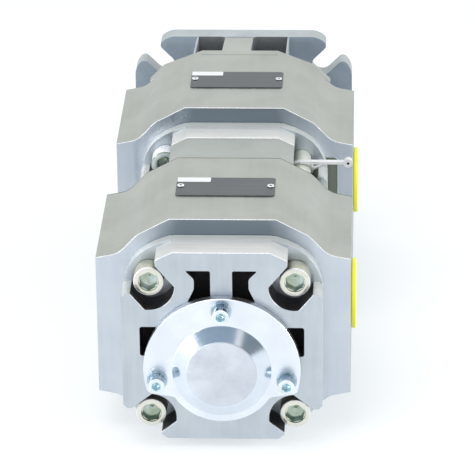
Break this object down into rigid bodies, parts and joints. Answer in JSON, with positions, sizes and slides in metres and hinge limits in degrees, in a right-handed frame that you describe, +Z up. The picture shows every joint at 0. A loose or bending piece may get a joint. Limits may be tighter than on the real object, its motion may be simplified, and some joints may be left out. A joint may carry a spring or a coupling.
{
  "type": "hydraulic pump",
  "caption": "Tandem internal gear pump with winged cast housings in line, a slotted drive flange, a keyed shaft, a turned rear cap and capped pressure ports.",
  "frame": {"origin": "below the middle of the pump, level with the lower edge of the drive flange; the shaft axis lies straight above it", "axes": "+X to the right as seen from the rear cap, +Y along the shafts towards the drive end, +Z up"},
  "size_m": [0.204, 0.5765, 0.2101],
  "materials": {
    "casting": "satin, machined",
    "cover": "satin, machined",
    "turned_aluminium": "bright turned",
    "yellow_zinc": "zinc plated, pale yellow",
    "blue_zinc": "zinc plated, bluish",
    "hardened_steel": "ground",
    "bearing_bronze": "machined",
    "seal_rubber": "matt",
    "dark_plate": "dark, bare",
    "yellow_plastic": "matt",
    "clear_plastic": "translucent white"
  },
  "bodies": {
    "pump_body": {"bearing_cover_1": "cover", "bearing_cover_2": "cover", "cap_screw_left": "blue_zinc", "cap_screw_right": "blue_zinc", "cap_screw_top": "blue_zinc", "cap_washer_left": "blue_zinc", "cap_washer_right": "blue_zinc", "cap_washer_top": "blue_zinc", "coupling_housing": "casting", "cover_screw_1_bottom_left": "yellow_zinc", "cover_screw_1_bottom_right": "yellow_zinc", "cover_screw_1_top_left": "yellow_zinc", "cover_screw_1_top_right": "yellow_zinc", "cover_screw_2_bottom_left": "yellow_zinc", "cover_screw_2_bottom_right": "yellow_zinc", "cover_screw_2_top_left": "yellow_zinc", "cover_screw_2_top_right": "yellow_zinc", "cover_seal_1": "seal_rubber", "cover_seal_2": "seal_rubber", "crescent_segment_1": "bearing_bronze", "crescent_segment_2": "bearing_bronze", "drive_flange": "casting", "front_bush_1": "bearing_bronze", "front_bush_2": "bearing_bronze", "front_thrust_disc_1": "bearing_bronze", "front_thrust_disc_2": "bearing_bronze", "housing_1": "casting", "housing_2": "casting", "lower_seal_roller_1": "hardened_steel", "lower_seal_roller_2": "hardened_steel", "nameplate_1": "dark_plate", "nameplate_2": "dark_plate", "port_cap_1": "yellow_plastic", "port_cap_2": "yellow_plastic", "rear_bush_1": "bearing_bronze", "rear_bush_2": "bearing_bronze", "rear_cap": "turned_aluminium", "rear_thrust_disc_1": "bearing_bronze", "rear_thrust_disc_2": "bearing_bronze", "rivet_1_left": "blue_zinc", "rivet_1_right": "blue_zinc", "rivet_2_left": "blue_zinc", "rivet_2_right": "blue_zinc", "seal_circlip": "hardened_steel", "seal_strap": "clear_plastic", "segment_carrier_1": "bearing_bronze", "segment_carrier_2": "bearing_bronze", "shaft_seal": "seal_rubber", "stop_pin_1": "hardened_steel", "stop_pin_2": "hardened_steel", "upper_seal_roller_1": "hardened_steel", "upper_seal_roller_2": "hardened_steel"},
    "rotor": {"coupling_sleeve": "hardened_steel", "drive_key": "hardened_steel", "pinion_shaft_1": "hardened_steel", "pinion_shaft_2": "hardened_steel"},
    "ring_1": {"ring_gear_1": "hardened_steel"},
    "ring_2": {"ring_gear_2": "hardened_steel"}
  },
  "joints": [
    {"name": "rotor_spin", "type": "hinge", "parent": "pump_body", "child": "rotor", "pos_m": [0, 0, 0.0975], "axis": [0, 1, 0], "continuous": true},
    {"name": "ring_1_spin", "type": "hinge", "parent": "pump_body", "child": "ring_1", "pos_m": [0, 0, 0.1095], "axis": [0, 1, 0], "continuous": true},
    {"name": "ring_2_spin", "type": "hinge", "parent": "pump_body", "child": "ring_2", "pos_m": [0, 0, 0.1095], "axis": [0, 1, 0], "continuous": true}
  ],
  "couplings": [
    {"joint": "ring_1_spin", "follows": "rotor_spin", "ratio": 0.68421},
    {"joint": "ring_2_spin", "follows": "rotor_spin", "ratio": 0.68421}
  ]
}
